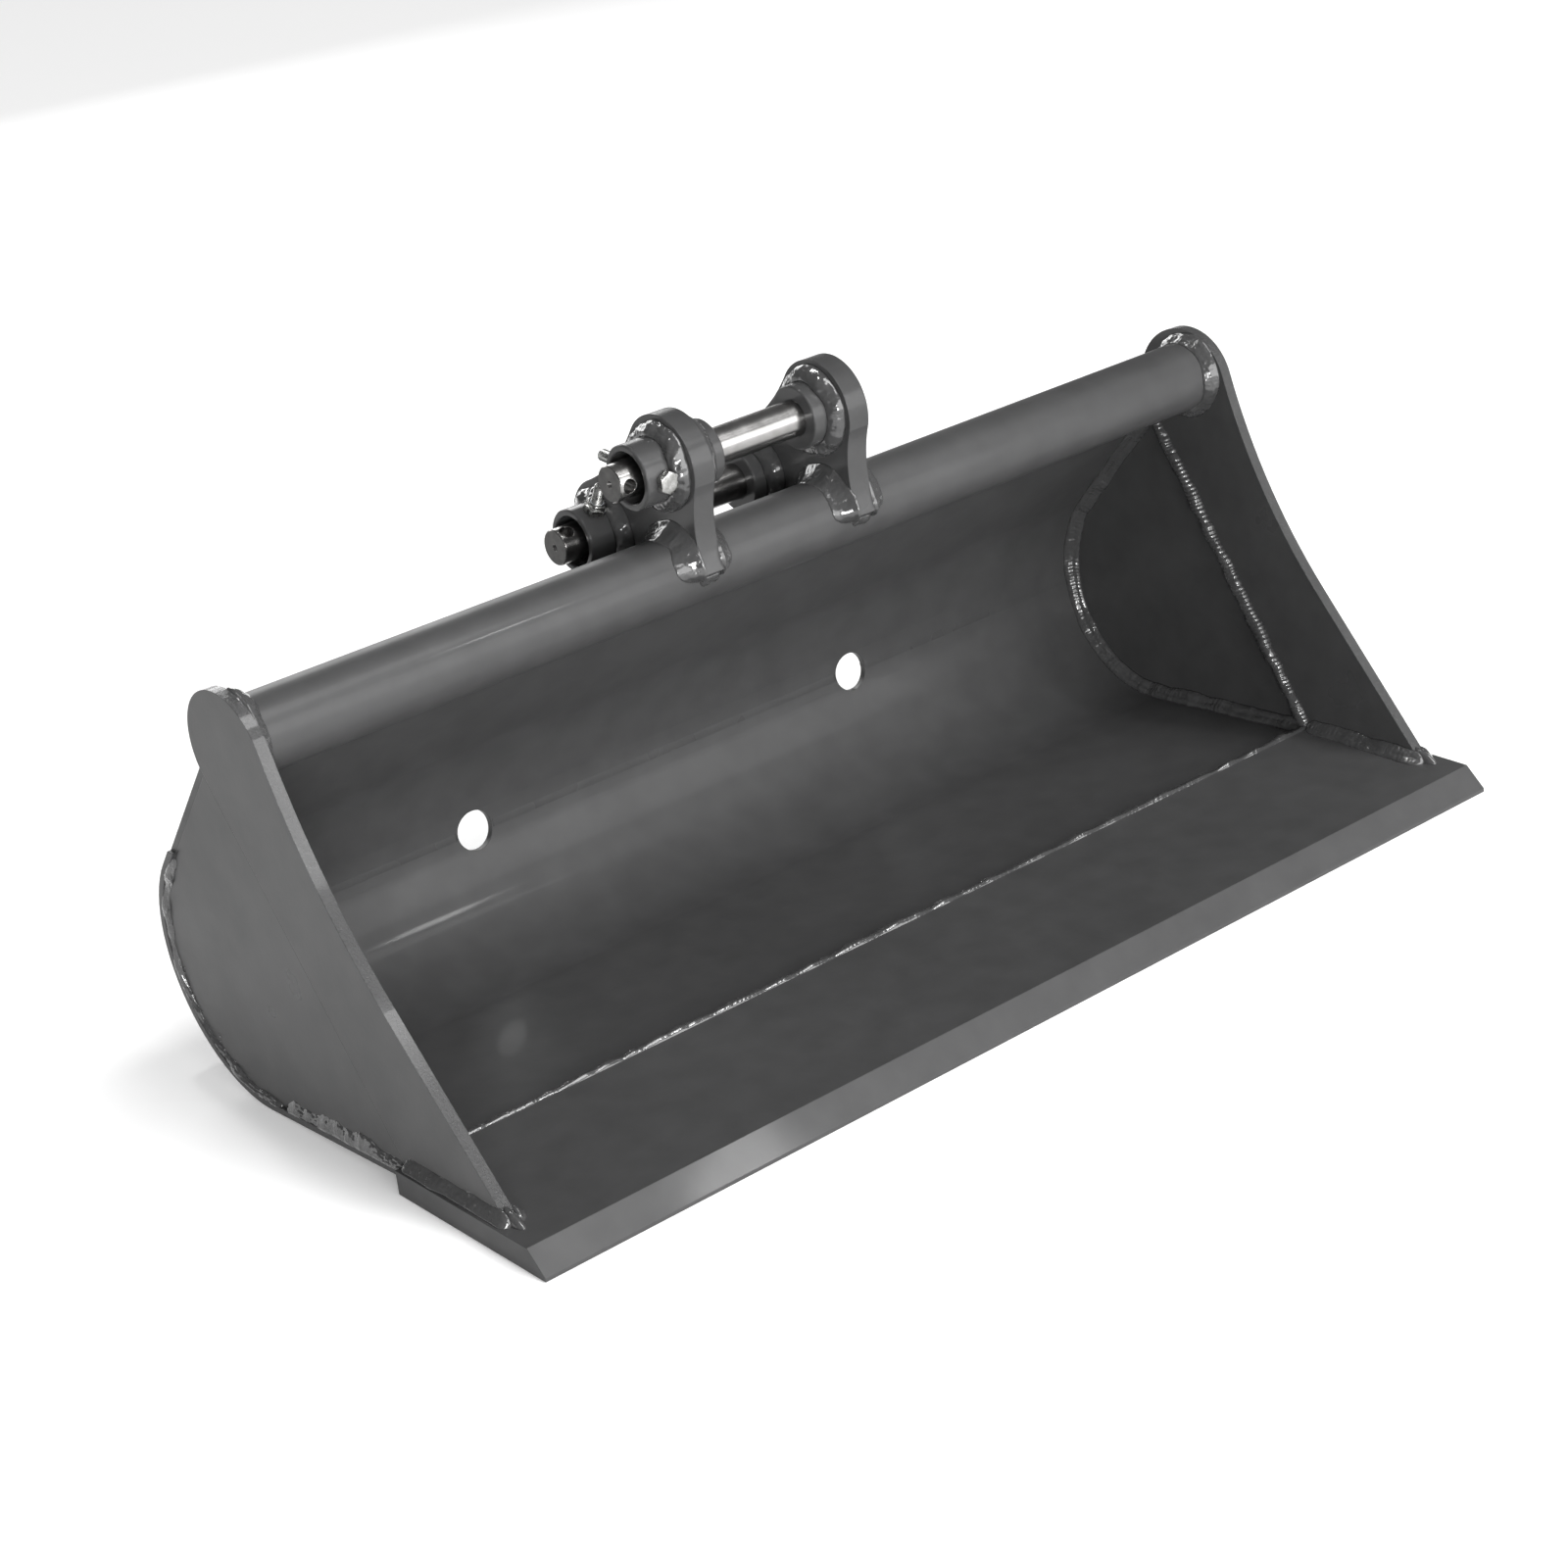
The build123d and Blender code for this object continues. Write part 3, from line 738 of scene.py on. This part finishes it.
# ---------------------------------------------------------------- locking bolts
ROUND = 96
BOLT_R = 0.005
THREAD_PITCH = 0.0015
THREAD_DEPTH = 0.00075
HEX_FLATS = 0.017
HEX_FACE_R = HEX_FLATS * 0.475
WASHER_R = HEX_FLATS * 0.46
WASHER_FACE = 0.0004
HEAD_HEIGHT = 0.0064
NUT_HEX = 0.007
NUT_HEIGHT = 0.010
NUT_RING_R = 0.0072
BOLT_SEAT = COLLAR_R + 0.0003
BOLT_TAIL = 0.0535


def hex_radius(angle):
    """How far a hexagon with a flat at angle 0 reaches at an angle in radians."""
    return HEX_FLATS / 2 / np.cos((angle + math.pi / 6) % (math.pi / 3) - math.pi / 6)


def corner_droop(hexagon):
    """How far a 30 degree chamfer cuts a hexagon's corners back from its face."""
    return np.clip(hexagon - HEX_FACE_R, 0, None) * math.tan(math.radians(30))


def lathe(name, rings, material, place, body):
    """A closed skin through rings of radius and height, either one number for the whole ring or one
    for each of its angles. A radius of nothing closes the skin in a point."""
    verts, faces = [], []
    angle = np.linspace(0, 2 * math.pi, ROUND, endpoint=False)
    for radius, height in rings:
        r = np.broadcast_to(radius, ROUND)
        h = np.broadcast_to(height, ROUND)
        verts.extend(np.stack([r * np.cos(angle), r * np.sin(angle), h], axis=1))
    for i in range(len(rings) - 1):
        for k in range(ROUND):
            m = (k + 1) % ROUND
            faces.append((i * ROUND + k, i * ROUND + m, (i + 1) * ROUND + m, (i + 1) * ROUND + k))
    verts = [place @ Vector(v) for v in verts]
    obj = mesh_object(name, verts, faces, material, body, smooth=False)
    bm = bmesh.new()
    bm.from_mesh(obj.data)
    bmesh.ops.remove_doubles(bm, verts=bm.verts, dist=1e-6)
    bmesh.ops.recalc_face_normals(bm, faces=bm.faces)
    bm.to_mesh(obj.data)
    bm.free()
    obj.data.shade_smooth()
    obj.data.set_sharp_from_angle(angle=math.radians(32))
    return obj


def bolt_rings():
    """A forged hexagon head with its turned chamfer, a plain shank and a rolled thread."""
    angle = np.linspace(0, 2 * math.pi, ROUND, endpoint=False)
    hexagon = hex_radius(angle)
    top = -BOLT_SEAT - HEAD_HEIGHT
    under = -BOLT_SEAT - WASHER_FACE
    rings = [(0, top), (HEX_FACE_R * 0.5, top), (HEX_FACE_R, top), (hexagon, top + corner_droop(hexagon)),
             (hexagon, under), (WASHER_R, under), (WASHER_R, -BOLT_SEAT), (BOLT_R, -BOLT_SEAT),
             (BOLT_R, BOLT_SEAT - 0.004)]
    start = BOLT_SEAT - 0.003
    steps = int((BOLT_TAIL - start) / THREAD_PITCH * 8)
    for i in range(steps):
        z = start + (BOLT_TAIL - start) * i / steps
        wave = ((z / THREAD_PITCH - angle / (2 * math.pi)) % 1)
        tooth = np.abs(2 * wave - 1)
        fade = min(1, (z - start) / THREAD_PITCH)
        limit = BOLT_R - np.clip(z - (BOLT_TAIL - 0.0012), 0, None)
        rings.append((np.minimum(BOLT_R - THREAD_DEPTH * tooth * fade, limit), z))
    rings += [(BOLT_R - 0.0013, BOLT_TAIL), (0, BOLT_TAIL)]
    return rings


def nut_rings():
    """A hexagon nut with a rolled collar that holds a nylon ring."""
    angle = np.linspace(0, 2 * math.pi, ROUND, endpoint=False)
    hexagon = hex_radius(angle)
    droop = corner_droop(hexagon)
    base, shoulder, top = BOLT_SEAT, BOLT_SEAT + NUT_HEX, BOLT_SEAT + NUT_HEIGHT
    rings = [(BOLT_R - 0.0003, base), (HEX_FACE_R, base), (hexagon, base + droop),
             (hexagon, shoulder - droop), (HEX_FACE_R, shoulder), (NUT_RING_R, shoulder + 0.0003)]
    bend = 0.0012
    for t in np.linspace(0, math.pi / 2, 6):
        rings.append((NUT_RING_R - bend + bend * math.cos(t), top - bend + bend * math.sin(t)))
    rings += [(NUT_RING_R - 0.0017, top), (NUT_RING_R - 0.0017, top - 0.0006),
              (BOLT_R - 0.0003, top - 0.0006), (BOLT_R - 0.0003, base)]
    return rings


def locking_bolts():
    for pin in PINS:
        joint = JOINTS[f"{pin}_bolt_turn"]
        way = Vector(joint["axis"])
        x = Vector((1, 0, 0))
        turn = Matrix((x, way.cross(x), way)).transposed().to_4x4()
        place = Matrix.Translation(joint["pos_m"]) @ turn
        body = f"{pin}_bolt"
        bolt = lathe(f"{pin}_locking_bolt", bolt_rings(), ZINC, place, body)
        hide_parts(f"{pin}_bolt")
        nut = lathe(f"{pin}_lock_nut", nut_rings(), ZINC, place, body)
        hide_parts(f"{pin}_nut")
        low, top = BOLT_SEAT + NUT_HEIGHT - 0.0009, BOLT_SEAT + NUT_HEIGHT - 0.0002
        lathe(f"{pin}_nylon_ring", [(BOLT_R - 0.0002, low), (NUT_RING_R - 0.0016, low),
              (NUT_RING_R - 0.0016, top), (BOLT_R - 0.0002, top), (BOLT_R - 0.0002, low)],
              NYLON, place, body)


# ---------------------------------------------------------------- stage
CAMERA_AT = (-1.5397, -1.6864, 1.2169)
CAMERA_HEADING = 37.50
CAMERA_DOWN = 23.74
CAMERA_ROLL = 6.66
LENS = 76.84
SENSOR = 36.0
SKY = 0.18
FLOOR_GLOW = 0.18
OVERHEAD = 1.9
OVERHEAD_SPREAD = 30.0
OVERHEAD_WAY = (-0.6, 0.95, -1.9)
FLOOR_REACH = 30.0
FLOOR_WHITE = 0.90
FLOOR_GAP = 0.0005
MIDDLE = (0.0, 0.3, 0.2)
AREA_LIGHTS = {
    "front": ((0.6, -3.4, 1.3), MIDDLE, (5.0, 2.2), 190),
    "back": ((0.6, 3.6, 1.5), MIDDLE, (3.0, 1.5), 60),
    "fill_left": ((-2.2, -2.9, 0.8), (0.3, 0.3, 0.2), (0.8, 0.8), 95),
    "strobe_top": ((-0.3, 0.9, 2.6), MIDDLE, (0.2, 0.2), 9),
    "strobe_right": ((1.15, -1.35, 2.1), MIDDLE, (0.16, 0.16), 8),
}


def camera():
    data = bpy.data.cameras.new("camera")
    data.lens = LENS
    data.sensor_width = SENSOR
    obj = bpy.data.objects.new("camera", data)
    heading, down, roll = (math.radians(v) for v in (CAMERA_HEADING, CAMERA_DOWN, CAMERA_ROLL))
    turn = (
        Matrix.Rotation(-heading, 4, "Z") @ Matrix.Rotation(math.pi / 2 - down, 4, "X")
        @ Matrix.Rotation(-roll, 4, "Z")
    )
    obj.matrix_world = Matrix.Translation(CAMERA_AT) @ turn
    bpy.context.scene.collection.objects.link(obj)
    bpy.context.scene.camera = obj


def area(name, at, aim, size, power):
    """A rectangular light. Power is in watts."""
    data = bpy.data.lights.new(name, "AREA")
    data.shape = "RECTANGLE"
    data.size, data.size_y = size
    data.energy = power
    obj = bpy.data.objects.new(name, data)
    way = Vector(aim) - Vector(at)
    obj.matrix_world = Matrix.Translation(at) @ way.to_track_quat("-Z", "Y").to_matrix().to_4x4()
    bpy.context.scene.collection.objects.link(obj)


def stage():
    mesh = bpy.data.meshes.new("floor")
    r = FLOOR_REACH
    mesh.from_pydata([(-r, -r, 0), (r, -r, 0), (r, r, 0), (-r, r, 0)], [], [(0, 1, 2, 3)])
    mesh.materials.append(matt_white("floor_white", FLOOR_WHITE, FLOOR_GLOW))
    floor = bpy.data.objects.new("floor", mesh)
    floor.location.z = cad_low.z - FLOOR_GAP
    bpy.context.scene.collection.objects.link(floor)

    world = bpy.data.worlds.new("studio")
    world.use_nodes = True
    sky = world.node_tree.nodes["Background"]
    sky.inputs["Color"].default_value = (1, 1, 1, 1)
    sky.inputs["Strength"].default_value = SKY
    bpy.context.scene.world = world

    for name, light in AREA_LIGHTS.items():
        area(name, *light)

    data = bpy.data.lights.new("overhead", "SUN")
    data.energy = OVERHEAD
    data.angle = math.radians(OVERHEAD_SPREAD)
    sun = bpy.data.objects.new("overhead", data)
    sun.matrix_world = Vector(OVERHEAD_WAY).to_track_quat("-Z", "Y").to_matrix().to_4x4()
    bpy.context.scene.collection.objects.link(sun)


bpy.context.scene.view_settings.view_transform = "Standard"
dress_all()
end_welds()
heel_spatter()
edge_welds()
tube_welds()
ground_seam()
hitch_welds()
locking_bolts()
camera()
stage()
